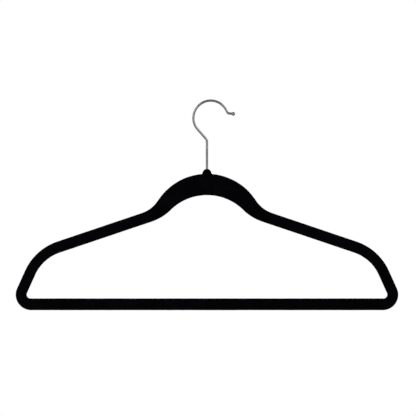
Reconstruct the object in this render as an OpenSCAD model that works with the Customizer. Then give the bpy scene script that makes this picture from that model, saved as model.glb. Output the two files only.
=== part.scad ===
// Slim flocked clothes hanger with an arched centre, a trouser bar and a swivelling wire hook.
// Millimetres. X runs across the hanger, Y through its thickness with the front at -Y, and Z up.
// The origin is the point inside the hook that rests on the rail, on the axis that the hook turns about.

/* [Hanger] */
// Width across the rounded ends
hanger_w = 445; // [430:5:460]
// Height from the underside of the bar to the top of the hook
overall_h = 245.2; // [240:0.2:260]
// Thickness over the flock
body_t = 6; // [5.6:0.1:7]
// Height of the trouser bar
bar_h = 13.2; // [12:0.2:15]
// Width of the band along the shoulders
arm_w = 12.8; // [11:0.2:14]
// Width of the band down the rounded ends
end_w = 12.3; // [11:0.1:14]
// Rounding along every edge of the band
edge_r = 1.9; // [1.5:0.1:2.2]

/* [Outline] */
// Radius outside the two bottom corners
foot_r = 17.8; // [16:0.2:20]
// Radius inside the two bottom corners
foot_in_r = 4.6; // [3:0.2:7]
// Distance from the middle to the corner where shoulder and end would meet
shoulder_x = 200.3; // [195:0.1:205]
// Height of that corner above the underside of the bar
shoulder_z = 70.7; // [65:0.1:76]
// Radius over the shoulder
shoulder_r = 63.3; // [50:0.1:70]
// Radius under the shoulder
shoulder_in_r = 48.2; // [40:0.1:55]
// Distance from the middle to the corner where arch and shoulder would meet
valley_x = 64.6; // [60:0.1:70]
// Height of that corner above the underside of the bar
valley_z = 116.5; // [112:0.1:120]
// Radius above that corner
valley_r = 36; // [30:1:40]

/* [Arch] */
// Height of the top of the arch above the underside of the bar
arch_top = 158.4; // [157:0.1:162]
// Height of the underside of the arch
arch_under = 133.9; // [131:0.1:135.5]
// Slope of the outside of the arch
arch_slope = 54.8; // [52:0.1:56]
// Slope of the inside of the arch
arch_in_slope = 43.7; // [42:0.1:45]
// Distance from the middle to the inside corner of arch and shoulder
valley_in_x = 52.2; // [50:0.1:56]
// Radius below that corner
valley_in_r = 57; // [45:1:60]

/* [Shells] */
// Thickness of the flock
flock_t = 0.5; // [0.4:0.05:0.6]
// Film of glue that holds the flock
glue_t = 0.05; // [0.02:0.01:0.08]
// Wall around the edge of each shell
wall_t = 1.4; // [1.2:0.1:1.6]
// Thickness of the face of each shell
face_t = 1.1; // [0.9:0.1:1.3]
// Thickness of the cross ribs
rib_t = 1.2; // [1:0.1:1.6]
// Spacing of the cross ribs along the bar and the shoulders
rib_pitch = 28; // [20:1:30]
// Radius of the pins that locate the shells
locator_r = 1; // [0.8:0.1:1.2]

/* [Neck] */
// Radius of the boss over the flock
boss_r = 5.15; // [5:0.05:5.6]
// Height of the domed boss above the arch
boss_h = 6.2; // [6:0.1:7]
// Depth that the boss keeps its full radius inside the arch
boss_depth = 9.5; // [9.5:0.1:10]
// Length over which the boss then fades into the faces
boss_fade = 11; // [9:0.5:12]

/* [Hook] */
// Diameter of the wire
wire_d = 2.8; // [2.6:0.1:3]
// Radius of the hook along the middle of its wire
hook_r = 20.2; // [19:0.1:24]
// Distance of the hook's centre from the stem
hook_shift = 4.4; // [3:0.1:5.5]
// Where the round of the hook leaves the slanting wire, counted from +X
hook_start = 221.3; // [215:0.1:228]
// Where the round of the hook ends and runs straight to the tip
hook_end = 29; // [20:1:35]
// Length of that straight wire
tip_run = 3.7; // [2:0.1:5]
// Radius of the bend above the stem
neck_bend_r = 4; // [3:0.1:6]
// Radius of the bend that turns the tip up
tip_bend_r = 2.6; // [2:0.1:4]
// Angle of that bend
tip_bend = 56; // [50:1:70]
// Length of straight wire from that bend to the middle of the ball
tip_len = 4.75; // [4:0.05:6]
// Diameter of the ball on the tip
ball_d = 4.4; // [4:0.1:5.2]

/* [Swivel] */
// Gap around the wire inside the collar
run_gap = 0.05; // [0.02:0.01:0.1]
// Outer radius of the collar
collar_r = 2.4; // [2.2:0.05:2.5]
// Length of the collar above its flange
collar_len = 8; // [7:0.1:8.4]
// Radius of the flange of the collar and of the pocket below it
pocket_r = 3; // [2.9:0.05:3.1]
// Thickness of the flange of the collar
flange_t = 1; // [0.8:0.1:1.2]
// Radius of the washer
washer_r = 2.6; // [2.5:0.05:2.7]
// Thickness of the washer
washer_t = 0.8; // [0.6:0.1:1]
// Radius of the head upset on the end of the wire
head_r = 2.3; // [2.1:0.05:2.4]
// Thickness of that head
head_t = 1.4; // [1.2:0.1:1.6]

/* [Hidden] */
$fn = 64;
eps = 0.01;

// Heights. The rail touches the inside of the hook at the origin.
wire_r = wire_d / 2;
hook_centre = [hook_shift, -sqrt(pow(hook_r - wire_r, 2) - pow(hook_shift, 2))];
base_z = hook_centre.y + hook_r + wire_r - overall_h;
arch_z = base_z + arch_top;

// Half thickness of the plastic core under the flock and its glue.
coat_t = flock_t + glue_t;
core_h = body_t / 2 - coat_t;
cavity_h = core_h - face_t;

// Path of the wire in the XZ plane. Each straight stretch runs on a little way inside the bends at its
// ends, and a bend is drawn a hundredth fatter, so that the stretches join into one solid.
overrun = 0.25;
bend_extra = 0.01;
socket_depth = 2;
slant = [cos(hook_start - 90), sin(hook_start - 90)];
hook_foot = hook_centre + hook_r * [cos(hook_start), sin(hook_start)];
way_out = [sin(hook_end), -cos(hook_end)];
knee = hook_foot + slant * (-hook_foot.x / slant.x);
knee_turn = atan2(abs(slant.x), abs(slant.y));
knee_reach = neck_bend_r * tan(knee_turn / 2);
tip_start = hook_centre + hook_r * [cos(hook_end), sin(hook_end)] + tip_run * way_out;
tip_centre = tip_start + left_of(way_out) * tip_bend_r;
tip_angle = hook_end + 180 + tip_bend;
tip_foot = tip_centre + tip_bend_r * [cos(tip_angle), sin(tip_angle)];
tip_way = [-sin(tip_angle), cos(tip_angle)];
ball_centre = tip_foot + tip_len * tip_way;
wire_end = ball_centre - tip_way * (ball_d / 2 - socket_depth);

// Swivel stack, from the collar's flange down to the end of the pocket.
axial_gap = 0.05;
hole_gap = 0.25;
pocket_top = arch_z - collar_len + 2.5;
flange_z = pocket_top - flange_t;
washer_z = flange_z - axial_gap - washer_t;
head_z = washer_z - head_t;
pocket_floor = head_z - 0.6;

// Corners of the outer outline on the right, from the foot up, as [x, z, radius].
end_lean = atan2(hanger_w / 2 - shoulder_x, shoulder_z);
function foot_corner(x, tries) =
    tries == 0 ? x
    : foot_corner(hanger_w / 2 - foot_r
                  + foot_r / tan((90 - atan2(x - shoulder_x, shoulder_z)) / 2), tries - 1);
foot_x = foot_corner(hanger_w / 2 + foot_r / 2, 12);
apex_z = valley_z + valley_x * tan(arch_slope);
apex_r = (apex_z - arch_top) / (1 / cos(arch_slope) - 1);
outer_right = [[foot_x, 0, foot_r], [shoulder_x, shoulder_z, shoulder_r], [valley_x, valley_z, valley_r]];
outer_corners = outline(outer_right, [0, apex_z, apex_r]);

// Corners of the opening. Bar, end and shoulder lie inside the outer outline by their own widths.
foot_in = inset_corner([0, 0], outer_right[0], outer_right[1], bar_h, end_w);
shoulder_in = inset_corner(outer_right[0], outer_right[1], outer_right[2], end_w, arm_w);
arm_way = unit(xy(outer_right[2]) - xy(outer_right[1]));
valley_in = shoulder_in + arm_way * ((valley_in_x - shoulder_in.x) / arm_way.x);
apex_in_z = valley_in.y + valley_in_x * tan(arch_in_slope);
apex_in_r = (apex_in_z - arch_under) / (1 / cos(arch_in_slope) - 1);
inner_right = [[foot_in.x, foot_in.y, foot_in_r], [shoulder_in.x, shoulder_in.y, shoulder_in_r],
               [valley_in.x, valley_in.y, valley_in_r]];
inner_corners = outline(inner_right, [0, apex_in_z, apex_in_r]);

// Steps around the foot, shoulder, valley and arch, used alike on both outlines.
corner_steps = [14, 10, 7, 22, 7, 10, 14];
edge_steps = 3;

function xy(v) = [v.x, v.y];
function unit(v) = v / norm(v);
function left_of(v) = [-v.y, v.x];
function cross2(a, b) = a.x * b.y - a.y * b.x;
function flip(list) = [for (i = [len(list) - 1 : -1 : 0]) [-list[i][0], list[i][1], list[i][2]]];

// A mirrored loop of corners, counter-clockwise seen from the front.
function outline(right, apex) = concat(right, [apex], flip(right));

// The corner p of a path a-p-b after its two edges have moved to their left by first and second.
function inset_corner(a, p, b, first, second) =
    let (n1 = left_of(unit(xy(p) - xy(a))), n2 = left_of(unit(xy(b) - xy(p))))
    xy(p) + [first * n2.y - second * n1.y, second * n1.x - first * n2.x] / cross2(n1, n2);

// Points of a loop whose corners are rounded, moved to its left by inset, at depth y.
function rounded(loop, inset, y) = [
    for (i = [0 : len(loop) - 1])
        let (n = len(loop),
             p = loop[i],
             before = unit(xy(p) - xy(loop[(i + n - 1) % n])),
             after = unit(xy(loop[(i + 1) % n]) - xy(p)),
             side = sign(cross2(before, after)),
             turn = acos(before * after),
             centre = xy(p) - before * p[2] * tan(turn / 2) + side * p[2] * left_of(before),
             start = atan2(-side * before.x, side * before.y),
             radius = p[2] - side * inset)
        for (k = [0 : corner_steps[i]])
            let (angle = start + side * turn * k / corner_steps[i])
            [centre.x + radius * cos(angle), y, base_z + centre.y + radius * sin(angle)]
];

// One row around the band: the outer outline or the edge of the opening, moved into the plastic.
function outer_row(inset, y) = rounded(outer_corners, inset, y);
function inner_row(inset, y) = rounded(inner_corners, -inset, y);

// Quarter rounds of an edge as [inset, y], from the side of the band to its face.
function edge_round(skin, half, towards) = [
    for (k = [0 : edge_steps])
        let (a = 90 * k / edge_steps, r = edge_r - skin)
        [skin + r * (1 - cos(a)), towards * (half - r + r * sin(a))]
];
function backwards(list) = [for (i = [len(list) - 1 : -1 : 0]) list[i]];

// Closes a list of rows, each a loop of points, into a ring-shaped solid.
module ring_solid(rows) {
    count = len(rows[0]);
    total = len(rows);
    polyhedron(
        points = [for (row = rows) each row],
        faces = [
            for (j = [0 : total - 1], i = [0 : count - 1])
                let (ni = (i + 1) % count, nj = (j + 1) % total)
                [j * count + i, nj * count + i, nj * count + ni, j * count + ni]
        ]);
}

// The whole band with rounded edges, thinner by skin on every side.
module band(skin) {
    half = body_t / 2 - skin;
    front = edge_round(skin, half, -1);
    rear = edge_round(skin, half, 1);
    ring_solid(concat(
        [for (e = backwards(rear)) outer_row(e.x, e.y)],
        [for (e = front) outer_row(e.x, e.y)],
        [for (e = backwards(front)) inner_row(e.x, e.y)],
        [for (e = rear) inner_row(e.x, e.y)]));
}

// One half of the core: a channel that follows the band, open at the joint plane.
// It is drawn as the front half, so the rear half is its mirror image.
module channel() {
    front = edge_round(coat_t, core_h, -1);
    inside = coat_t + wall_t;
    ring_solid(concat(
        [outer_row(coat_t, 0)],
        [for (e = front) outer_row(e.x, e.y)],
        [for (e = backwards(front)) inner_row(e.x, e.y)],
        [inner_row(coat_t, 0), inner_row(inside, 0), inner_row(inside, -cavity_h),
         outer_row(inside, -cavity_h), outer_row(inside, 0)]));
}

// Neck boss: a dome over the arch that runs down into it and fades into both faces.
module boss(skin, turn = 360) {
    r = boss_r - skin;
    top = boss_h - skin;
    crown = wire_r + hole_gap + 0.3;
    dome_steps = 10;
    fade_steps = 8;
    dome_end = acos(crown / r);
    translate([0, 0, arch_z])
        rotate_extrude(angle = turn, start = 180)
            polygon(concat(
                [[0, -boss_depth - boss_fade]],
                [for (k = [0 : fade_steps])
                    let (u = 1 - k / fade_steps)
                    [r - (r - 1) * pow(u, 1.7), -boss_depth - boss_fade * u]],
                [for (k = [0 : dome_steps])
                    let (a = dome_end * k / dome_steps)
                    [r * cos(a), top * sin(a)]],
                [[0, top * sin(dome_end)]]));
}

// Straight round wire between two points of the XZ plane, running on past its ends by start and stop.
module straight(from, to, start = overrun, stop = overrun) {
    way = unit(to - from);
    foot = from - way * start;
    translate([foot.x, 0, foot.y])
        rotate([0, atan2(way.x, way.y), 0])
            cylinder(h = norm(to - from) + start + stop, r = wire_r);
}

// Round wire bent about a centre in the XZ plane, from one angle to another counted from +X.
module bend(centre, radius, from, to) {
    translate([centre.x, 0, centre.y])
        rotate([90, 0, 0])
            rotate_extrude(angle = to - from, start = from)
                translate([radius, 0])
                    circle(r = wire_r + bend_extra);
}

// Cylinder standing on the swivel axis.
module on_axis(z, h, r) {
    translate([0, 0, z])
        cylinder(h = h, r = r);
}

// Plated steel wire: head, stem, slanting neck, round hook and turned-back tip.
module hook_wire() {
    stem_top = [0, knee.y - knee_reach];
    color("silver")
        union() {
            on_axis(head_z, head_t, head_r);
            straight([0, head_z], stem_top, 0);
            bend([-neck_bend_r, stem_top.y], neck_bend_r, 0, knee_turn);
            straight(knee + slant * knee_reach, hook_foot);
            bend(hook_centre, hook_r, hook_end, hook_start);
            straight(tip_start - tip_run * way_out, tip_start);
            bend(tip_centre, tip_bend_r, hook_end + 180, tip_angle);
            straight(tip_foot, wire_end, overrun, 0);
        }
}

// Ball pressed onto the tip, with a blind socket for the wire.
module hook_tip_ball() {
    color("silver")
        difference() {
            translate([ball_centre.x, 0, ball_centre.y])
                sphere(r = ball_d / 2);
            straight(tip_foot, wire_end, 0, 0);
        }
}

// Steel washer that rests on the head of the wire and carries the collar.
module thrust_washer() {
    color("gray")
        difference() {
            on_axis(washer_z, washer_t, washer_r);
            on_axis(washer_z - eps, washer_t + 2 * eps, wire_r + run_gap);
        }
}

// Flanged collar that the wire turns in. The shells close around it.
module neck_collar() {
    color("goldenrod")
        difference() {
            union() {
                on_axis(flange_z, flange_t, pocket_r);
                on_axis(pocket_top, collar_len, collar_r);
            }
            on_axis(flange_z - eps, flange_t + collar_len + 2 * eps, wire_r + run_gap);
        }
}

// Room in the shells for the collar, the washer and the head, and the hole for the wire.
module neck_pocket() {
    on_axis(pocket_top, collar_len, collar_r);
    on_axis(pocket_floor, pocket_top - pocket_floor, pocket_r);
    on_axis(pocket_top + collar_len - eps, boss_h, wire_r + hole_gap);
}

// Middle line of the band along the bar and the shoulder, on the right.
bar_mid = bar_h / 2;
arm_mid = xy(outer_right[2]) + left_of(arm_way) * arm_w / 2;

// Cross ribs on the right, as [x, z, slope of the band, length of the rib].
bar_ribs = [for (x = [rib_pitch / 2 : rib_pitch : foot_in.x - 2 * foot_in_r]) [x, bar_mid, 0, bar_h]];
arm_ribs = [
    for (d = [rib_pitch : rib_pitch : 4 * rib_pitch])
        let (p = arm_mid - arm_way * d)
        [p.x, p.y, atan2(-arm_way.y, -arm_way.x), arm_w]
];
rib_places = concat(bar_ribs, arm_ribs);

// Pins that locate the two shells, on both sides of the middle.
locators = [
    [arm_mid.x - arm_way.x * rib_pitch * 1.5, arm_mid.y - arm_way.y * rib_pitch * 1.5],
    [arm_mid.x - arm_way.x * rib_pitch * 3.5, arm_mid.y - arm_way.y * rib_pitch * 3.5],
    [rib_pitch * 1, bar_mid],
    [rib_pitch * 7, bar_mid],
    [22, (arch_top + arch_under) / 2 - 4]
];

module both_sides() {
    children();
    mirror([1, 0, 0])
        children();
}

// Ribs of one shell. They stop short of the joint plane and bite into both walls and the face.
module ribs() {
    short = 0.2;
    bite = 0.6;
    both_sides()
        for (rib = rib_places)
            translate([rib[0], -(cavity_h + bite + short) / 2, base_z + rib[1]])
                rotate([0, -rib[2], 0])
                    cube([rib_t, cavity_h + bite - short, rib[3] - 2 * (coat_t + wall_t - bite)],
                         center = true);
}

// Round bosses or pins across the joint plane, from one depth to another.
module posts(r, from, to) {
    both_sides()
        for (p = locators)
            translate([p.x, from, base_z + p.y])
                rotate([-90, 0, 0])
                    cylinder(h = to - from, r = r);
}

// Half of the body with its ribs and its half of the neck.
module half_shell() {
    channel();
    boss(coat_t, 180);
    ribs();
}

// Front half, with the sockets for the locating pins.
module front_shell() {
    socket_wall = 1;
    color("dimgray")
        difference() {
            union() {
                half_shell();
                posts(locator_r + socket_wall, -cavity_h - face_t / 2, 0);
            }
            neck_pocket();
            posts(locator_r + run_gap, -cavity_h, 1);
        }
}

// Rear half, with the locating pins.
module rear_shell() {
    pin_reach = cavity_h - 0.2;
    color("dimgray")
        union() {
            difference() {
                mirror([0, 1, 0])
                    half_shell();
                neck_pocket();
            }
            posts(locator_r, -pin_reach, cavity_h + face_t / 2);
        }
}

// Flock over the whole body, open only where the wire comes out.
module flock_coat() {
    color("black")
        difference() {
            union() {
                band(0);
                boss(0);
            }
            band(flock_t);
            boss(flock_t);
            on_axis(arch_z, 2 * boss_h, wire_r + hole_gap);
        }
}

hook_wire();
hook_tip_ball();
thrust_washer();
neck_collar();
front_shell();
rear_shell();
flock_coat();
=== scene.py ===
# %% [markdown]
# # A flocked clothes hanger with a swivelling hook
#
# A slim hanger of this kind is two thin plastic half shells, welded face to face and covered all over with
# short black nylon fibre. A plated wire hook turns in a brass collar in its neck.
# This lesson builds what the eye sees round a CAD frame that is already there: first the frame, then a few
# helpers, then each piece with its finish, and last the studio. Every length is in metres, X runs across the
# hanger, the front is at -Y, and Z is up.

import bpy
import numpy as np
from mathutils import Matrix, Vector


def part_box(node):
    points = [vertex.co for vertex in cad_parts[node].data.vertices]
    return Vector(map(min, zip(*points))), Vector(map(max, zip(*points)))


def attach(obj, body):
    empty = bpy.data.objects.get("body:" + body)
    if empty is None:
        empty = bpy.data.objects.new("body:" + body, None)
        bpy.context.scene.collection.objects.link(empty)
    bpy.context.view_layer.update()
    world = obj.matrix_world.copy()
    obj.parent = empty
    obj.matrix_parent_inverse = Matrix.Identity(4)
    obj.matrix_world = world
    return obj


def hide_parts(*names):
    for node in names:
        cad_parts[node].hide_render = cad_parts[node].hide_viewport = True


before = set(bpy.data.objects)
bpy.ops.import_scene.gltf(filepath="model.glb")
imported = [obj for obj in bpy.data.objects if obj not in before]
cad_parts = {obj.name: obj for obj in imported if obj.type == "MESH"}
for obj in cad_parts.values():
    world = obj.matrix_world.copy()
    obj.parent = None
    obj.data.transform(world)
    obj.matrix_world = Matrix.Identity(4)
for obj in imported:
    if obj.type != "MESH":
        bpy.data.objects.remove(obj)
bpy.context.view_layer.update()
MM = 0.001
for name in sorted(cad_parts):
    low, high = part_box(name)
    print(name, "measures", [round((b - a) / MM, 2) for a, b in zip(low, high)], "mm")

# %% [markdown]
# ## Surfaces from grids
#
# Each new piece is a sheet of points with two parameters, rolled up until its edges meet, as a potter rolls
# clay. The points are worked out as one array. Four neighbours make a face, and the last row joins the first
# where the sheet is rolled up. A shape could be pulled about by hand instead, but a formula for a grid is
# short, keeps to the drawing and gives nothing but quads.


# %% Faces of a grid
def grid_faces(rows, columns, roll_rows=True):
    """Faces of a sheet rolled up across its columns, and along its rows too if asked: each joins point
    (i, j) to (i + 1, j), (i + 1, j + 1) and (i, j + 1), and the number after the last is the first."""
    i = np.arange(rows if roll_rows else rows - 1)[:, None]
    j = np.arange(columns)[None, :]
    down = (i + 1) % rows
    across = (j + 1) % columns
    corners = (i * columns + j, down * columns + j, down * columns + across, i * columns + across)
    return np.stack(np.broadcast_arrays(*corners), axis=-1).reshape(-1, 4)


print("a rolled sheet of 5 by 6 points has", len(grid_faces(5, 6)), "faces")


# %% Which way faces look
def volume(points, faces):
    """Space inside closed faces: the sum over their triangles of a . (b x c) / 6. It is above zero when the
    faces look outwards."""
    a, b, c, d = (points[faces[:, k]] for k in range(4))
    first = np.einsum("ij,ij->i", a, np.cross(b, c))
    second = np.einsum("ij,ij->i", a, np.cross(c, d))
    return (first + second).sum() / 6


def grid_normals(points):
    """Unit normals of a rolled sheet: the step to the next row crossed with the step to the next column."""
    down = np.roll(points, -1, axis=0) - np.roll(points, 1, axis=0)
    across = np.roll(points, -1, axis=1) - np.roll(points, 1, axis=1)
    normal = np.cross(down, across)
    return normal / np.linalg.norm(normal, axis=-1, keepdims=True)


# %% A mesh from points and faces
def mesh_piece(name, points, faces):
    """A smooth-shaded object at the origin with these points and faces."""
    mesh = bpy.data.meshes.new(name)
    mesh.from_pydata(points.tolist(), [], faces)
    mesh.shade_smooth()
    piece = bpy.data.objects.new(name, mesh)
    bpy.context.scene.collection.objects.link(piece)
    print(name, "has", len(mesh.polygons), "faces")
    return piece


# %% [markdown]
# ## Finishes from nodes
#
# Colours are written as the hex values a paint chart gives, which are sRGB, and a shader wants linear light,
# so one function turns them. A second adds any node with its settings and links. Each finish is then built
# from the pattern towards the shader: the coordinates of the piece, noises at real sizes, and what they
# change.


# %% Colour
def linear(hex_colour):
    """sRGB hex to linear light: c / 12.92 for the darkest values, else ((c + 0.055) / 1.055) ^ 2.4."""
    srgb = np.array([int(hex_colour[k:k + 2], 16) / 255 for k in (1, 3, 5)])
    light = np.where(srgb <= 0.04045, srgb / 12.92, ((srgb + 0.055) / 1.055) ** 2.4)
    return (*light.tolist(), 1.0)


print("a middle grey gives back", round(linear("#808080")[0], 3), "of the light")


# %% Node
def node(tree, kind, settings=None, stops=(), **sockets):
    """Adds a node. Settings are its own attributes, and stops the (place, hex colour) pairs of a colour
    ramp. Each socket, named with _ for a space or as in2 for the third, takes a value or another node's
    output."""
    made = tree.nodes.new(kind)
    for key, value in (settings or {}).items():
        setattr(made, key, value)
    if stops:
        elements = made.color_ramp.elements
        elements.remove(elements[1])
        elements[0].position = stops[0][0]
        for where, _ in stops[1:]:
            elements.new(where)
        for element, (_, hex_colour) in zip(elements, stops):
            element.color = linear(hex_colour)
    for key, value in sockets.items():
        socket = made.inputs[int(key[2:]) if key.startswith("in") else key.replace("_", " ")]
        if isinstance(value, bpy.types.NodeSocket):
            tree.links.new(value, socket)
        else:
            socket.default_value = value
    return made


# %% Material
def start_finish(name):
    """A new material with an empty tree, and the piece's own coordinates in metres."""
    material = bpy.data.materials.new(name)
    material.use_nodes = True
    tree = material.node_tree
    tree.nodes.clear()
    place = node(tree, "ShaderNodeTexCoord").outputs["Object"]
    return material, tree, place


def paint(piece, material):
    """Gives the piece this one finish."""
    if not piece.material_slots:
        piece.data.materials.append(material)
    for slot in piece.material_slots:
        slot.material = material
    print(piece.name, "is finished in", material.name)


# %% [markdown]
# ## The outline of the hanger
#
# A designer draws the band of the hanger as two closed lines of straights and round corners: the outside and
# the inside. Each corner is given by the point where its straights would meet and by its radius. Both lines
# have the same corners, so a station on one has its partner on the other, and a section can be drawn between.

# %% Corners of the two outlines
coat_low, coat_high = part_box("flock_coat")
HALF_WIDTH = coat_high[0]
BAR_UNDERSIDE = coat_low[2]
BODY_T = 6.0 * MM           # thickness over the flock
EDGE_R = 1.9 * MM           # rounding along every edge
BAR_H = 13.2 * MM
ARCH_TOP = BAR_UNDERSIDE + 158.4 * MM

# Distance from the middle, height above the underside of the bar, and radius, all in millimetres
OUTSIDE = [(232.292, 0, 17.8), (200.3, 70.7, 63.3), (64.6, 116.5, 36), (0, 208.076, 67.604)]
INSIDE = [(212.818, BAR_H / MM, 4.6), (191.581, 60.133, 48.2), (52.2, 107.176, 57), (0, 157.059, 60.438)]
APEX = 3                    # the arch is the fourth corner of each
print("the band is", round(2 * HALF_WIDTH / MM, 1), "mm wide")


# %% Both sides
def both_sides(corners):
    """The right half's corners, and then their mirror images back down the left half."""
    left = [(-x, z, r) for x, z, r in corners[-2::-1]]
    return np.array(corners + left, float) * MM


outer_corners = both_sides(OUTSIDE)
inner_corners = both_sides(INSIDE)
print("each line has", len(outer_corners), "corners")


# %% Corners as arcs
def line_parts(corners):
    """For each corner: where its arc starts and ends, its centre, its radius, the angle it turns, and the
    heading before it. An arc of radius r that turns by a starts r tan(a / 2) before the corner."""
    point = corners[:, :2]
    heading = point - np.roll(point, 1, axis=0)
    heading /= np.linalg.norm(heading, axis=1, keepdims=True)
    after = np.roll(heading, -1, axis=0)
    cross = heading[:, 0] * after[:, 1] - heading[:, 1] * after[:, 0]
    turn = np.arctan2(cross, (heading * after).sum(axis=1))
    radius = corners[:, 2]
    start = point - heading * (radius * np.tan(np.abs(turn) / 2))[:, None]
    end = point + after * (radius * np.tan(np.abs(turn) / 2))[:, None]
    left = np.stack([-heading[:, 1], heading[:, 0]], axis=1)
    centre = start + left * (np.sign(turn) * radius)[:, None]
    return start, end, centre, radius, turn, heading


print("the arch turns by", round(float(np.degrees(line_parts(outer_corners)[4][APEX])), 1), "degrees")


# %% Spacing the stations
def steps(length, spacing, fine, reach):
    """Shares from 0 to 1 of a stretch, `spacing` apart, closing to `fine` within `reach` of its middle. The
    count of points up to a place is the integral of 1 / step, so equal counts give the places."""
    place = np.linspace(-length / 2, length / 2, 4001)
    nearness = 1 / (1 + (np.abs(place) / reach) ** 6)
    density = (1 - nearness) / spacing + nearness / fine
    count = np.concatenate([[0], np.cumsum((density[1:] + density[:-1]) / 2 * np.diff(place))])
    wanted = np.linspace(0, count[-1], max(3, int(np.ceil(count[-1])) + 1))
    return np.interp(wanted, count, place) / length + 0.5


def shares_for(corners, spacing, fine):
    """The shares of each arc and of the straight after it, `spacing` apart, and `fine` at the neck."""
    start, end, _, radius, turn, _ = line_parts(corners)
    sides = np.linalg.norm(np.roll(start, -1, axis=0) - end, axis=1)
    neck_reach = 9 * MM
    return [(steps(abs(turn[k]) * radius[k], spacing, fine if k == APEX else spacing, neck_reach),
             steps(sides[k], spacing, spacing, neck_reach)) for k in range(len(corners))]


# %% Stations along a line
def stations(corners, shares):
    """Points (x, z) and outward normals along a closed line that runs anticlockwise, at the given shares of
    each arc and then of the straight after it. On an arc, the normal turns with the angle, and the point is
    centre + normal * radius."""
    start, end, centre, radius, turn, heading = line_parts(corners)
    outward = np.stack([heading[:, 1], -heading[:, 0]], axis=1)
    points, normals = [], []
    for k in range(len(corners)):
        arc_shares, side_shares = shares[k]
        angle = turn[k] * arc_shares
        normal = np.stack([outward[k, 0] * np.cos(angle) - outward[k, 1] * np.sin(angle),
                           outward[k, 0] * np.sin(angle) + outward[k, 1] * np.cos(angle)], axis=1)
        points.append(centre[k] + normal * radius[k] * np.sign(turn[k]))
        normals.append(normal)
        side = side_shares[1:-1, None]
        following = (k + 1) % len(corners)
        points.append(end[k] * (1 - side) + start[following] * side)
        normals.append(np.repeat(outward[following][None, :], len(side), axis=0))
    return np.concatenate(points), np.concatenate(normals)


COAT_SPACING = 1.3 * MM
COAT_AT_NECK = 0.34 * MM
LINING_SPACING = 3.6 * MM
LINING_AT_NECK = 0.8 * MM
outside_line, _ = stations(outer_corners, shares_for(outer_corners, COAT_SPACING, COAT_AT_NECK))
print("the outside line has", len(outside_line), "stations, and is",
      round(2 * outside_line[:, 0].max() / MM, 1), "mm across")

# %% [markdown]
# ## The flock coat
#
# Flock is nylon fibre, half a millimetre long, shot into wet glue by static charge until it stands on end
# like grass. It rounds every edge, follows the domed boss where the hook goes in, and is never quite even.
# So the coat is made as a skin round the band, raised over the boss, and then roughened by a fraction of a
# millimetre, with a faint ridge where the two plastic shells meet beneath it. A subdivided box could be
# sculpted into the same shape, but a skin of stations keeps to the drawing exactly.
# The boss is blended in with a smooth union of two distance fields, because glue and fibre fill the crease.

# %% Sizes of the coat
FLOCK_T = 0.5 * MM
BOSS_R = 5.15 * MM
BOSS_H = coat_high[2] - ARCH_TOP      # height of the dome above the arch
BOSS_DEPTH = 9.5 * MM                 # depth at full radius
BOSS_FADE = 11 * MM                   # length over which it then sinks into the faces
BOSS_END_R = 1 * MM
FADE_POWER = 1.7
CREASE = 1.5 * MM                     # how far the flock fills the crease round the boss
print("the dome stands", round(BOSS_H / MM, 2), "mm above the arch")


# %% The section of the band
def section(depth, fill):
    """Once round the band's section: for each point its share of the way from the outside line to the
    inside one, its inset from that line, and its y. Flats and faces are straight, and the corners are
    quarter circles: r (1 - cos) inwards and r sin along y. `depth` is how far below the surface the skin
    lies, and `fill` the counts on edge, corner, face and inside."""
    edge_count, corner_count, face_count, inner_count = fill
    r = EDGE_R - depth
    half = BODY_T / 2 - depth
    flat = half - r
    edge = np.linspace(0, 1, edge_count + 1)[:-1]
    corner = np.linspace(0, np.pi / 2, corner_count + 1)[:-1]
    face = np.linspace(0, 1, face_count + 1)[:-1]
    inner = np.linspace(0, 1, inner_count + 1)[:-1]
    parts = [
        (0 * edge, 0 * edge, flat - 2 * flat * edge),
        (0 * corner, r * (1 - np.cos(corner)), -flat - r * np.sin(corner)),
        (face, r + 0 * face, -half + 0 * face),
        (1 + 0 * corner, r * (1 - np.sin(corner)), -flat - r * np.cos(corner)),
        (1 + 0 * inner, 0 * inner, -flat + 2 * flat * inner),
        (1 + 0 * corner, r * (1 - np.cos(corner)), flat + r * np.sin(corner)),
        (1 - face, r + 0 * face, half + 0 * face),
        (0 * corner, r * (1 - np.sin(corner)), flat + r * np.cos(corner)),
    ]
    share, inset, y = (np.concatenate(column) for column in zip(*parts))
    return share, inset + depth, y


COAT_FILL = (8, 6, 22, 5)     # of the coat's outer skin
LINING_FILL = (3, 3, 9, 2)    # of its inner skin, which is hidden
print("the section has", len(section(0, COAT_FILL)[0]), "points")


# %% The skin of the band
def band_skin(depth, spacing, fine, fill):
    """Points of the skin, station by station: the outside and inside lines, each moved into the band by the
    section's inset, and mixed by its share."""
    shares = shares_for(outer_corners, spacing, fine)
    outside, outside_normal = stations(outer_corners, shares)
    inside, inside_normal = stations(inner_corners, shares)
    share, inset, y = (v[None, :, None] for v in section(depth, fill))
    flat = ((outside[:, None] - outside_normal[:, None] * inset) * (1 - share)
            + (inside[:, None] + inside_normal[:, None] * inset) * share)
    height = np.broadcast_to(y[..., 0], flat.shape[:2])
    return np.stack([flat[..., 0], height, flat[..., 1] + BAR_UNDERSIDE], axis=-1)


# %% Distance from the band
def circle_of(corners):
    """Centre height and radius of the arch's circle in a line."""
    _, _, centre, radius, _, _ = line_parts(corners)
    return centre[APEX, 1] + BAR_UNDERSIDE, radius[APEX]


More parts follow.
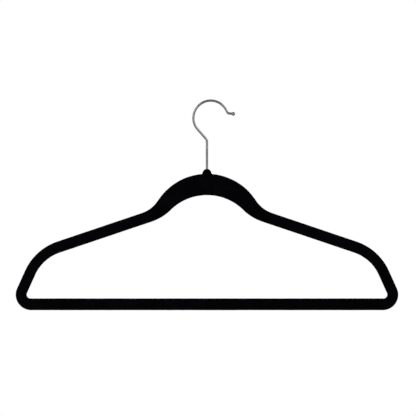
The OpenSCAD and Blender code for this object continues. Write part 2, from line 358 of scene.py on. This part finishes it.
def band_distance(p, depth):
    """Signed distance from the arch of the band: the ring between its two circles, rounded along its
    edges."""
    outer_z, outer_r = circle_of(outer_corners)
    inner_z, inner_r = circle_of(inner_corners)
    past_outside = np.hypot(p[:, 0], p[:, 2] - outer_z) - outer_r
    past_inside = inner_r - np.hypot(p[:, 0], p[:, 2] - inner_z)
    ring = np.maximum(past_outside, past_inside)
    q = np.stack([ring + EDGE_R, np.abs(p[:, 1]) - BODY_T / 2 + EDGE_R], axis=1)
    rounded = np.minimum(q.max(axis=1), 0) + np.linalg.norm(np.maximum(q, 0), axis=1)
    return rounded - EDGE_R + depth


print("the arch's outside circle has a radius of", round(float(circle_of(outer_corners)[1]) / MM, 1), "mm")


# %% Distance from the boss, and the union
def boss_distance(p, depth):
    """Rough signed distance from the boss: an ellipsoid over the arch, a cylinder below it, and then a
    radius that shrinks as the distance down to the power of FADE_POWER."""
    width = np.hypot(p[:, 0], p[:, 1])
    height = p[:, 2] - ARCH_TOP
    sink = np.clip((-height - BOSS_DEPTH) / BOSS_FADE, 0, 1)
    side = width - (BOSS_R - (BOSS_R - BOSS_END_R) * sink ** FADE_POWER)
    dome = (np.hypot(width / BOSS_R, height / BOSS_H) - 1) * BOSS_R
    return np.where(height > 0, dome, side) + depth


def joined_distance(p, depth):
    """Smooth union: near the crease the two distances are mixed by h and lowered by crease * h (1 - h)."""
    band = band_distance(p, depth)
    boss = boss_distance(p, depth)
    h = np.clip(0.5 + (boss - band) / (2 * CREASE), 0, 1)
    return boss * (1 - h) + band * h - CREASE * h * (1 - h)


# %% The skin raised over the boss
ROOT_DEPTH = 5 * MM         # the rays start on the axis, at least this far below the top of the arch
RAY_START = 0.9             # share of the way to the flat skin, which is surely inside
RAY_ROOM = 4 * MM           # past the height of the dome, which is surely outside
HALVINGS = 30               # each halves what is left, down to less than a nanometre


def raise_boss(skin, depth):
    """Moves the points near the boss out along rays from its axis, to where the union is zero. Each halving
    keeps the half of the ray that the surface crosses."""
    points = skin.reshape(-1, 3)
    near = (np.abs(points[:, 0]) < 2 * BOSS_R) & (points[:, 2] > ARCH_TOP - BOSS_DEPTH - BOSS_FADE)
    near[near] = boss_distance(points[near], depth) < CREASE
    picked = points[near]
    root_z = np.minimum(picked[:, 2], ARCH_TOP - ROOT_DEPTH)
    root = np.stack([0 * picked[:, 0], 0 * picked[:, 0], root_z], axis=1)
    ray = picked - root
    short = np.linalg.norm(ray, axis=1)
    ray /= short[:, None]
    short = short * RAY_START
    long = short + BOSS_H + RAY_ROOM
    for _ in range(HALVINGS):
        middle = (short + long) / 2
        inside = joined_distance(root + ray * middle[:, None], depth) < 0
        short = np.where(inside, middle, short)
        long = np.where(inside, long, middle)
    points[near] = root + ray * short[:, None]
    print("the boss lifts", int(near.sum()), "points")
    return points.reshape(skin.shape)


# %% The unevenness of the pile
CLUMPS = ((0.035 * MM, 1.1 * MM, 1), (0.03 * MM, 2.3 * MM, 2))    # height, size and seed
WAVES = (0.05 * MM, 14 * MM, 3)                                   # the same for the glue film
WELD_H = 0.07 * MM
WELD_WIDTH = 0.45 * MM
TIPS = 0.2 * MM             # the tips of the fibres stand this far over the even skin
LATTICE = 32


def unevenness(p, size, seed):
    """Smooth random heights from -1 to 1: random numbers at the corners of cubes of this size, mixed inside
    each cube by 3 u^2 - 2 u^3 along each axis."""
    lattice = np.random.default_rng(seed).uniform(-1, 1, (LATTICE, LATTICE, LATTICE))
    cell = p / size
    corner = np.floor(cell).astype(int)
    u = cell - corner
    u = u * u * (3 - 2 * u)
    total = np.zeros(p.shape[:-1])
    for offset in np.ndindex(2, 2, 2):
        i, j, k = np.moveaxis((corner + offset) % LATTICE, -1, 0)
        total += np.prod(np.where(offset, u, 1 - u), axis=-1) * lattice[i, j, k]
    return total


def pile(skin):
    """How far the pile stands above the even skin: clumps, slow waves of the glue film, a low ridge along
    the weld, shaped as exp(-(y / width)^2), and the tips of the fibres over it all."""
    bumps = sum(height * unevenness(skin, size, seed) for height, size, seed in (*CLUMPS, WAVES))
    weld = WELD_H * np.exp(-(skin[..., 1] / WELD_WIDTH) ** 2)
    return bumps + weld + TIPS


# %% The coat's two skins
outer_skin = raise_boss(band_skin(0, COAT_SPACING, COAT_AT_NECK, COAT_FILL), 0)
outer_faces = grid_faces(*outer_skin.shape[:2])
outward = grid_normals(outer_skin)
if volume(outer_skin.reshape(-1, 3), outer_faces) < 0:
    outer_faces = outer_faces[:, ::-1]
    outward = -outward
stand = pile(outer_skin)
outer_skin = outer_skin + outward * stand[..., None]
print("the pile stands", round(stand.min() / MM, 2), "to", round(stand.max() / MM, 2), "mm over the skin")

inner_skin = raise_boss(band_skin(FLOCK_T, LINING_SPACING, LINING_AT_NECK, LINING_FILL), FLOCK_T)
inner_faces = grid_faces(*inner_skin.shape[:2])
if volume(inner_skin.reshape(-1, 3), inner_faces) > 0:
    inner_faces = inner_faces[:, ::-1]

coat_points = np.concatenate([outer_skin.reshape(-1, 3), inner_skin.reshape(-1, 3)])
coat_faces = np.concatenate([outer_faces, inner_faces + outer_skin[..., 0].size])
coat = mesh_piece("flock_pile", coat_points, coat_faces.tolist())

# %% [markdown]
# ### The hole for the wire
#
# The wire comes up through the top of the dome. A drill-like cylinder is taken away from the coat by a
# boolean, and then thrown away. The hole could be left out of the grid instead, but no row of the grid runs
# round it.


# %% Turned solids
SIDES = 48                    # round a turned solid


def closed_tube(rings, poles):
    """Points and faces of a row of rings closed by a fan of triangles at each pole, facing outwards."""
    rows, columns = rings.shape[:2]
    points = np.concatenate([rings.reshape(-1, 3), poles])
    faces = grid_faces(rows, columns, roll_rows=False)
    j = np.arange(columns)
    following = (j + 1) % columns
    first_fan = np.stack([j, following, np.full(columns, rows * columns)], axis=1)
    end = (rows - 1) * columns
    last_fan = np.stack([end + following, end + j, np.full(columns, rows * columns + 1)], axis=1)
    if volume(points - points.mean(axis=0), faces) < 0:
        faces, first_fan, last_fan = faces[:, ::-1], first_fan[:, ::-1], last_fan[:, ::-1]
    return points, faces.tolist() + first_fan.tolist() + last_fan.tolist()


def turned(profile, origin, axis, count):
    """A solid of revolution. The profile is (distance along the axis, radius) from pole to pole, and the
    point at angle a is origin + axis * distance + radius * (u cos a + v sin a)."""
    axis = np.array(axis, float) / np.linalg.norm(axis)
    u = np.cross([0.0, 1.0, 0.0], axis)
    u /= np.linalg.norm(u)
    v = np.cross(axis, u)
    profile = np.array(profile, float)
    angle = np.linspace(0, 2 * np.pi, count, endpoint=False)
    round_way = np.cos(angle)[:, None] * u + np.sin(angle)[:, None] * v
    along = profile[1:-1, 0, None, None] * axis
    rings = np.array(origin) + along + profile[1:-1, 1, None, None] * round_way
    poles = np.array(origin) + profile[[0, -1], 0, None] * axis
    return closed_tube(rings, poles)


# %% Cutting
WELD_GAP = 0.01 * MM


def cut_away(piece, tool):
    """Takes the tool's space from the piece for good, and deletes the tool. Bent quads are split first, so
    that every cut runs through flat faces, and points closer than WELD_GAP are made one."""
    piece.modifiers.new("flat_faces", "TRIANGULATE")
    cutter = piece.modifiers.new("hole", "BOOLEAN")
    cutter.operation = "DIFFERENCE"
    cutter.solver = "EXACT"
    cutter.object = tool
    piece.modifiers.new("cut_faces", "TRIANGULATE")
    piece.modifiers.new("weld", "WELD").merge_threshold = WELD_GAP
    seen = piece.evaluated_get(bpy.context.evaluated_depsgraph_get())
    cut = bpy.data.meshes.new_from_object(seen)
    piece.modifiers.clear()
    piece.data = cut
    bpy.data.objects.remove(tool)
    print(piece.name, "has", len(cut.polygons), "faces after the cut")


HOLE_R = 1.65 * MM
drill_bottom = coat_high[2] - 2.5 * MM
drill_length = 4 * MM
drill_profile = [(0, 0), (0, HOLE_R), (drill_length, HOLE_R), (drill_length, 0)]
drill = mesh_piece("drill", *turned(drill_profile, (0, 0, drill_bottom), (0, 0, 1), SIDES))
cut_away(coat, drill)
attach(coat, "hanger")
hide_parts("flock_coat")

# %% [markdown]
# ### The finish of the flock
#
# Nylon flock is dyed right through, and light that goes in between the fibres hardly comes out, so its
# colour is nearly black with a touch of blue. Only the tips, seen from low down, give a soft grey sheen. A
# dense pile has no gloss, so the specular level is almost nothing. Patches where the fibres lean together
# look a little lighter or darker.

# %% Black nylon flock
# To the eye this is a deep matt black with a soft grey rim, and no highlight at all.
flock, tree, place = start_finish("black_nylon_flock")
CLUMP_SCALE = 1 / (1.6 * MM)   # real fibres are 0.02 mm thick; these clumps are the finest that show
LEAN_SCALE = 1 / (22 * MM)
clumps = node(tree, "ShaderNodeTexNoise", Vector=place, Scale=CLUMP_SCALE, Detail=3.0, Roughness=0.65)
lean = node(tree, "ShaderNodeTexNoise", Vector=place, Scale=LEAN_SCALE, Detail=2.0, Distortion=0.6)
lean_share = node(tree, "ShaderNodeMath", {"operation": "MULTIPLY"}, in0=lean.outputs["Fac"], in1=0.35)
patches = node(tree, "ShaderNodeMath", {"operation": "MULTIPLY_ADD"}, in0=clumps.outputs["Fac"], in1=0.65,
               in2=lean_share.outputs[0])
dye = node(tree, "ShaderNodeValToRGB", stops=((0.36, "#010102"), (0.52, "#030305"), (0.68, "#08080C")),
           Fac=patches.outputs[0])
bump = node(tree, "ShaderNodeBump", Height=clumps.outputs["Fac"], Strength=0.55, Distance=0.25 * MM)
shader = node(tree, "ShaderNodeBsdfPrincipled", Base_Color=dye.outputs[0], Normal=bump.outputs[0],
              Roughness=0.95, Specular_IOR_Level=0.03, Sheen_Weight=0.16, Sheen_Roughness=0.3,
              Sheen_Tint=linear("#A9AEBE"))
node(tree, "ShaderNodeOutputMaterial", Surface=shader.outputs[0])
paint(coat, flock)

# %% [markdown]
# ## The wire hook
#
# The hook is one piece of drawn steel wire, bent on pins: a stem, a bend, a slant, the round of the hook, and
# a small bend that turns the tip out. Its lower end is upset into a head that holds it in the neck. It could
# be a curve object with a bevel, but a circle carried along the path can also swell into that head. The path
# is a chain of straights and arcs whose headings meet.

# %% Sizes of the wire
wire_low, wire_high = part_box("hook_wire")
WIRE_R = 1.4 * MM
HOOK_R = 20.2 * MM
HOOK_MIDDLE = (4.4 * MM, wire_high[2] - WIRE_R - HOOK_R)
HOOK_START = 221.3            # degrees from +X, where the slant runs into the round
HOOK_END = 29                 # where the round ends
TIP_RUN = 3.7 * MM            # straight wire from there to the bend of the tip
TIP_BEND_R = 2.6 * MM
TIP_BEND = 56
TIP_LENGTH = 4.75 * MM        # from that bend to the middle of the ball
TIP_GAP = 0.6 * MM            # the wire ends this far short of the ball's middle
NECK_BEND_R = 4 * MM
BACK = HOOK_START - 180       # how far the neck bend leans the wire back
STEP = 0.5 * MM
print("the hook is", round(2 * (HOOK_R - WIRE_R) / MM, 1), "mm wide inside")


# %% Arcs and straights
def heading_of(degrees):
    """Unit vector (cos, sin) of this angle from +X in the plane of the hook."""
    return np.array([np.cos(np.radians(degrees)), np.sin(np.radians(degrees))])


def arc_points(centre, radius, first, last, step):
    """Points of an arc, centre + radius * (cos, sin), from the first angle to the last, about `step`
    apart."""
    count = max(2, int(abs(np.radians(last - first)) * radius / step))
    angle = np.radians(np.linspace(first, last, count))
    return np.array(centre) + radius * np.stack([np.cos(angle), np.sin(angle)], axis=1)


def straight_points(first, last, step):
    """Points strictly between two places, first * (1 - share) + last * share, about `step` apart."""
    count = max(2, int(np.linalg.norm(np.array(last) - first) / step))
    share = np.linspace(0, 1, count + 1)[1:-1, None]
    return np.array(first) * (1 - share) + np.array(last) * share


# %% The lower half of the path
round_part = arc_points(HOOK_MIDDLE, HOOK_R, HOOK_START, HOOK_END, STEP)
slant = heading_of(BACK + 90)
turn_in = NECK_BEND_R * (1 - np.cos(np.radians(BACK)))     # how far the neck bend moves the wire sideways
slant_length = (-turn_in - round_part[0][0]) / -slant[0]
bend_end = round_part[0] - slant * slant_length
bend_middle = bend_end - NECK_BEND_R * heading_of(BACK)
neck_bend = arc_points(bend_middle, NECK_BEND_R, 0, BACK, STEP / 2)
stem_top = neck_bend[0]
stem_foot = np.array([0.0, wire_low[2]])
print("the stem is", round(float(stem_top[1] - stem_foot[1]) / MM, 1), "mm long, and the slant",
      round(float(slant_length) / MM, 1), "mm")

# %% The tip, and the whole path
tip_start = round_part[-1] + TIP_RUN * heading_of(HOOK_END - 90)
tip_middle = tip_start + TIP_BEND_R * heading_of(HOOK_END)
tip_bend = arc_points(tip_middle, TIP_BEND_R, HOOK_END + 180, HOOK_END + 180 + TIP_BEND, STEP / 2)
lip = heading_of(HOOK_END + 180 + TIP_BEND + 90)
ball_middle = tip_bend[-1] + TIP_LENGTH * lip
tip_end = ball_middle - TIP_GAP * lip
wire_path = np.concatenate([
    stem_foot[None], straight_points(stem_foot, stem_top, STEP), neck_bend,
    straight_points(neck_bend[-1], round_part[0], STEP), round_part,
    straight_points(round_part[-1], tip_start, STEP), tip_bend,
    straight_points(tip_bend[-1], tip_end, STEP), tip_end[None]])
wire_length = np.linalg.norm(np.diff(wire_path, axis=0), axis=1).sum()
print("the wire is", round(wire_length / MM, 1), "mm long, and its ball is at",
      [round(float(v) / MM, 2) for v in ball_middle])

# %% The wire with its upset head
HEAD_R = 2.3 * MM
HEAD_T = 1.4 * MM
HEAD_ROUND = 0.25 * MM
HEAD_CLEAR = 0.2 * MM         # the plain wire's rings start this far above the head
WIRE_SIDES = 40


def swept(path, radii, count):
    """A circle carried along a path in the plane y = 0: path + radius * (n cos a + y sin a), where n is the
    heading turned by a right angle."""
    heading = np.gradient(path, axis=0)
    heading /= np.linalg.norm(heading, axis=1, keepdims=True)
    side = np.stack([heading[:, 1], 0 * heading[:, 0], -heading[:, 0]], axis=1)
    middle = np.stack([path[:, 0], 0 * path[:, 0], path[:, 1]], axis=1)
    angle = np.linspace(0, 2 * np.pi, count, endpoint=False)
    around = (np.cos(angle)[None, :, None] * side[:, None]
              + np.sin(angle)[None, :, None] * np.array([0.0, 1.0, 0.0]))
    return closed_tube(middle[:, None] + radii[:, None, None] * around, middle[[0, -1]])


quarter = np.linspace(0, np.pi / 2, 5)
rise = HEAD_ROUND * (1 - np.cos(quarter))
widen = HEAD_ROUND * (1 - np.sin(quarter))
head_up = np.concatenate([rise, HEAD_T - widen, [HEAD_T]])
head_radii = np.concatenate([HEAD_R - widen, HEAD_R - rise, [WIRE_R]])
above_head = wire_path[wire_path[:, 1] > stem_foot[1] + HEAD_T + HEAD_CLEAR]
head_path = stem_foot + head_up[:, None] * np.array([0.0, 1.0])
full_path = np.concatenate([head_path, above_head])
full_radii = np.concatenate([head_radii, np.full(len(above_head), WIRE_R)])
hook = mesh_piece("bent_wire_hook", *swept(full_path, full_radii, WIRE_SIDES))
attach(hook, "hook")
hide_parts("hook_wire")

# %% [markdown]
# ### The ball on the tip
#
# A ball pressed onto the cut end of the wire keeps it from catching on clothes. It is a solid of revolution
# about the lip of the wire. Pressing it on leaves a small neck behind it, so the profile is an arc and then a
# quarter wave down to the wire. Blender's own sphere would have no such neck, and would look stuck on.

# %% The ball on the tip
BALL_R = 2.2 * MM
NECK_R = WIRE_R + 0.22 * MM   # a little neck closes on the wire behind the ball
NECK_T = 0.45 * MM
NECK_GRIP = 0.02 * MM         # the neck ends this far inside the wire
sweep = np.linspace(0, np.pi - np.arcsin(NECK_R / BALL_R), 30)
bulb = np.stack([BALL_R * np.cos(sweep), BALL_R * np.sin(sweep)], axis=1)
ease = np.linspace(0, np.pi / 2, 7)[1:]
neck = np.stack([bulb[-1, 0] - NECK_T * ease / ease[-1],
                 NECK_R - (NECK_R - WIRE_R + NECK_GRIP) * np.sin(ease)], axis=1)
ball_profile = np.concatenate([bulb, neck, [[neck[-1, 0], 0]]])
lip_3d = (lip[0], 0.0, lip[1])
ball_3d = (ball_middle[0], 0.0, ball_middle[1])
tip_ball = mesh_piece("tip_ball", *turned(ball_profile, ball_3d, lip_3d, SIDES))
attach(tip_ball, "hook")
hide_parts("hook_tip_ball")

# %% [markdown]
# ### The finish of the hook
#
# Steel wire is drawn through a die, which leaves faint lines along it, and is then plated with bright nickel.
# Plating follows those lines but softens them. It reflects the room like a slightly warm, slightly dull
# mirror.

# %% Nickel plate on drawn wire
# To the eye this is a dark line with soft light patches, which follow the bends of the wire.
plated, tree, place = start_finish("nickel_plated_drawn_wire")
stretch = node(tree, "ShaderNodeMapping", Vector=place, Scale=(1.0, 1.0, 0.12))
lines = node(tree, "ShaderNodeTexNoise", Vector=stretch.outputs[0], Scale=1 / (0.5 * MM), Detail=3.0)
haze = node(tree, "ShaderNodeTexNoise", Vector=place, Scale=1 / (6 * MM), Detail=3.0, Roughness=0.6)
tint = node(tree, "ShaderNodeValToRGB", stops=((0.3, "#BBBBB8"), (0.7, "#D4D4D0")), Fac=haze.outputs["Fac"])
dull = node(tree, "ShaderNodeMapRange", Value=haze.outputs["Fac"], From_Min=0.3, From_Max=0.7, To_Min=0.2,
            To_Max=0.3)
bump = node(tree, "ShaderNodeBump", Height=lines.outputs["Fac"], Strength=0.12, Distance=0.05 * MM)
shader = node(tree, "ShaderNodeBsdfPrincipled", Base_Color=tint.outputs[0], Roughness=dull.outputs[0],
              Normal=bump.outputs[0], Metallic=1.0)
node(tree, "ShaderNodeOutputMaterial", Surface=shader.outputs[0])
paint(hook, plated)

# %% Nickel plate on the ball
# The ball is pressed, not drawn, so its plate has small dimples in place of lines.
ball_plate, tree, place = start_finish("nickel_plated_ball")
dimples = node(tree, "ShaderNodeTexNoise", Vector=place, Scale=1 / (0.9 * MM), Detail=2.0)
tint = node(tree, "ShaderNodeValToRGB", stops=((0.3, "#B4B5B8"), (0.7, "#CFCFD1")),
            Fac=dimples.outputs["Fac"])
dull = node(tree, "ShaderNodeMapRange", Value=dimples.outputs["Fac"], From_Min=0.3, From_Max=0.7,
            To_Min=0.12, To_Max=0.2)
bump = node(tree, "ShaderNodeBump", Height=dimples.outputs["Fac"], Strength=0.1, Distance=0.05 * MM)
shader = node(tree, "ShaderNodeBsdfPrincipled", Base_Color=tint.outputs[0], Roughness=dull.outputs[0],
              Normal=bump.outputs[0], Metallic=1.0)
node(tree, "ShaderNodeOutputMaterial", Surface=shader.outputs[0])
paint(tip_ball, ball_plate)

# %% [markdown]
# ## The parts inside
#
# Four CAD parts keep their own shape: the steel washer and the brass collar that the hook turns in, and the
# two plastic shells. The coat covers them, but each still gets a finish of its own, so that the hanger can be
# shown cut open.

# %% Zinc plated washer
# Zinc settles in small crystals, each of which gives back the light at its own angle as a grey spangle.
zinc, tree, place = start_finish("zinc_plated_washer_steel")
spangle = node(tree, "ShaderNodeTexVoronoi", Vector=place, Scale=1 / (0.6 * MM))
tint = node(tree, "ShaderNodeValToRGB", stops=((0.0, "#AEB3B8"), (0.8, "#C9CCCE")),
            Fac=spangle.outputs["Distance"])
dull = node(tree, "ShaderNodeMapRange", Value=spangle.outputs["Distance"], From_Max=0.8, To_Min=0.3,
            To_Max=0.42)
shader = node(tree, "ShaderNodeBsdfPrincipled", Base_Color=tint.outputs[0], Roughness=dull.outputs[0],
              Metallic=1.0)
node(tree, "ShaderNodeOutputMaterial", Surface=shader.outputs[0])
paint(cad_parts["thrust_washer"], zinc)

# %% Turned brass collar
# A lathe's tool leaves fine rings in the brass, which draw the light out across them.
brass, tree, place = start_finish("turned_brass")
TOOL_FEED = 0.15 * MM
RING_SCALE = np.pi / 10 / TOOL_FEED     # a wave texture of scale 1 repeats every pi / 10
rings = node(tree, "ShaderNodeTexWave", {"bands_direction": "Z"}, Vector=place, Scale=RING_SCALE,
             Distortion=0.4)
tint = node(tree, "ShaderNodeValToRGB", stops=((0.0, "#B08A3E"), (1.0, "#CDAA5C")), Fac=rings.outputs["Fac"])
dull = node(tree, "ShaderNodeMapRange", Value=rings.outputs["Fac"], To_Min=0.22, To_Max=0.34)
bump = node(tree, "ShaderNodeBump", Height=rings.outputs["Fac"], Strength=0.3, Distance=0.02 * MM)
shader = node(tree, "ShaderNodeBsdfPrincipled", Base_Color=tint.outputs[0], Roughness=dull.outputs[0],
              Normal=bump.outputs[0], Metallic=1.0)
node(tree, "ShaderNodeOutputMaterial", Surface=shader.outputs[0])
paint(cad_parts["neck_collar"], brass)

# %% Moulded shells
# ABS comes out of a spark-eroded mould with a fine even grain, which breaks its shine into a satin.
moulded, tree, place = start_finish("moulded_black_abs")
spark = node(tree, "ShaderNodeTexNoise", Vector=place, Scale=1 / (0.8 * MM), Detail=4.0)
tint = node(tree, "ShaderNodeValToRGB", stops=((0.3, "#151517"), (0.7, "#222225")), Fac=spark.outputs["Fac"])
dull = node(tree, "ShaderNodeMapRange", Value=spark.outputs["Fac"], From_Min=0.3, From_Max=0.7, To_Min=0.42,
            To_Max=0.58)
bump = node(tree, "ShaderNodeBump", Height=spark.outputs["Fac"], Strength=0.3, Distance=0.05 * MM)
shader = node(tree, "ShaderNodeBsdfPrincipled", Base_Color=tint.outputs[0], Roughness=dull.outputs[0],
              Normal=bump.outputs[0], IOR=1.53)
node(tree, "ShaderNodeOutputMaterial", Surface=shader.outputs[0])
for shell in ("front_shell", "rear_shell"):
    paint(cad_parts[shell], moulded)

# %% [markdown]
# ## The studio
#
# The hanger hangs in front of a white room, so the camera sees white behind it. What the plated wire mirrors
# is softer: a grey room that is darker above eye level, which gives round metal its dark edges from every
# side. Four large soft boxes stand left and right, in front and behind, and put light patches on the bends. A
# fill from above lights the flock and the pale floor, which lies well below.

# %% Camera
CAMERA_DISTANCE = 2.4
FRAME_WIDTH = 484.5 * MM      # what the square frame takes in at the hanger
AIM = (1.2 * MM, 0.0, BAR_UNDERSIDE + 118.75 * MM)
camera_data = bpy.data.cameras.new("studio_camera")
camera_data.sensor_width = 36
camera_data.lens = camera_data.sensor_width * CAMERA_DISTANCE / FRAME_WIDTH
camera_data.clip_end = 30
camera = bpy.data.objects.new("studio_camera", camera_data)
camera.location = (AIM[0], -CAMERA_DISTANCE, AIM[2])
camera.rotation_euler = (np.pi / 2, 0, 0)
bpy.context.scene.collection.objects.link(camera)
bpy.context.scene.camera = camera
bpy.context.scene.view_settings.view_transform = "Standard"
print("the lens is", round(camera_data.lens, 1), "mm")

# %% White room
# What the wire mirrors goes by height, from straight down at 0 to straight up at 1.
GROUND, SKIRT, BAND, ABOVE, CEILING = "#7C7C7C", "#909090", "#959595", "#616161", "#595959"
LEVELS = ((0.0, GROUND), (0.38, SKIRT), (0.46, BAND), (0.54, BAND), (0.62, ABOVE), (1.0, CEILING))
room = bpy.data.worlds.new("white_room")
bpy.context.scene.world = room
room.use_nodes = True
tree = room.node_tree
tree.nodes.clear()
direction = node(tree, "ShaderNodeTexCoord").outputs["Generated"]
upward = node(tree, "ShaderNodeSeparateXYZ", Vector=direction)
height = node(tree, "ShaderNodeMapRange", Value=upward.outputs["Z"], From_Min=-1.0, From_Max=1.0)
levels = node(tree, "ShaderNodeValToRGB", stops=LEVELS, Fac=height.outputs[0])
seen = node(tree, "ShaderNodeLightPath")
mirrored = node(tree, "ShaderNodeBackground", Color=levels.outputs[0], Strength=1.0)
backdrop = node(tree, "ShaderNodeBackground", Color=(1, 1, 1, 1), Strength=1.0)
both = node(tree, "ShaderNodeMixShader", Fac=seen.outputs["Is Camera Ray"], in1=mirrored.outputs[0],
            in2=backdrop.outputs[0])
node(tree, "ShaderNodeOutputWorld", Surface=both.outputs[0])
print("the room has", len(LEVELS), "levels of grey")

# %% Soft boxes
BOX_OUT = 1.3                 # to the left or right of the hanger
BOX_NEAR = 1.4                # in front of it or behind it
BOX_UP = 0.75
BOX_SIZE = 1.3
BOX_WATTS = 6.4
OVERHEAD_UP = 1.6
OVERHEAD_SIZE = 3.2
OVERHEAD_WATTS = 100


def soft_box(name, place, size, watts):
    """A square area light that faces the hanger and that the camera doesn't see."""
    data = bpy.data.lights.new(name, "AREA")
    data.size = size
    data.energy = watts
    light = bpy.data.objects.new(name, data)
    light.location = place
    away = np.array(place) - np.array(AIM)
    lean = np.arctan2(np.hypot(away[0], away[1]), away[2])
    light.rotation_euler = (lean, 0, np.arctan2(away[0], -away[1]))
    light.visible_camera = False
    bpy.context.scene.collection.objects.link(light)
    print(name, "gives", watts, "W over", size, "m")
    return light


for side, share in (("left", -1), ("right", 1)):
    soft_box("soft_box_" + side, (share * BOX_OUT, -BOX_NEAR, BOX_UP), BOX_SIZE, BOX_WATTS)
    soft_box("soft_box_rear_" + side, (share * BOX_OUT, BOX_NEAR, BOX_UP), BOX_SIZE, BOX_WATTS)
overhead = soft_box("overhead_fill", (0, 0, OVERHEAD_UP), OVERHEAD_SIZE, OVERHEAD_WATTS)
overhead.visible_glossy = False

# %% Floor
FLOOR_Z = -0.62
FLOOR_R = 1.6
SPOKES = 96
RINGS = 23
spoke = np.linspace(0, 2 * np.pi, SPOKES, endpoint=False)
reach = np.linspace(0, FLOOR_R, RINGS + 1)[1:, None]
disc = np.stack([reach * np.cos(spoke), reach * np.sin(spoke), 0 * reach * spoke + FLOOR_Z], axis=-1)
disc_points = np.concatenate([disc.reshape(-1, 3), [[0, 0, FLOOR_Z]]])
rim = np.arange(SPOKES)
hub = np.stack([rim, (rim + 1) % SPOKES, np.full(SPOKES, len(disc_points) - 1)], axis=1)
disc_faces = grid_faces(RINGS, SPOKES, roll_rows=False).tolist() + hub.tolist()
floor = mesh_piece("studio_floor", disc_points, disc_faces)
floor.visible_glossy = False
print("the floor faces", "up" if floor.data.polygons[0].normal.z > 0 else "down")

# %% Pale plaster
# A chalky floor gives back almost all the light and no shine. From below it can be seen through.
plaster, tree, place = start_finish("pale_plaster")
mottle = node(tree, "ShaderNodeTexNoise", Vector=place, Scale=1 / (12 * MM), Detail=4.0)
tint = node(tree, "ShaderNodeValToRGB", stops=((0.3, "#F4F4F2"), (0.7, "#F8F8F7")), Fac=mottle.outputs["Fac"])
shader = node(tree, "ShaderNodeBsdfPrincipled", Base_Color=tint.outputs[0], Roughness=0.9,
              Specular_IOR_Level=0.2)
clear = node(tree, "ShaderNodeBsdfTransparent")
underside = node(tree, "ShaderNodeNewGeometry").outputs["Backfacing"]
open_below = node(tree, "ShaderNodeMixShader", Fac=underside, in1=shader.outputs[0], in2=clear.outputs[0])
node(tree, "ShaderNodeOutputMaterial", Surface=open_below.outputs[0])
paint(floor, plaster)
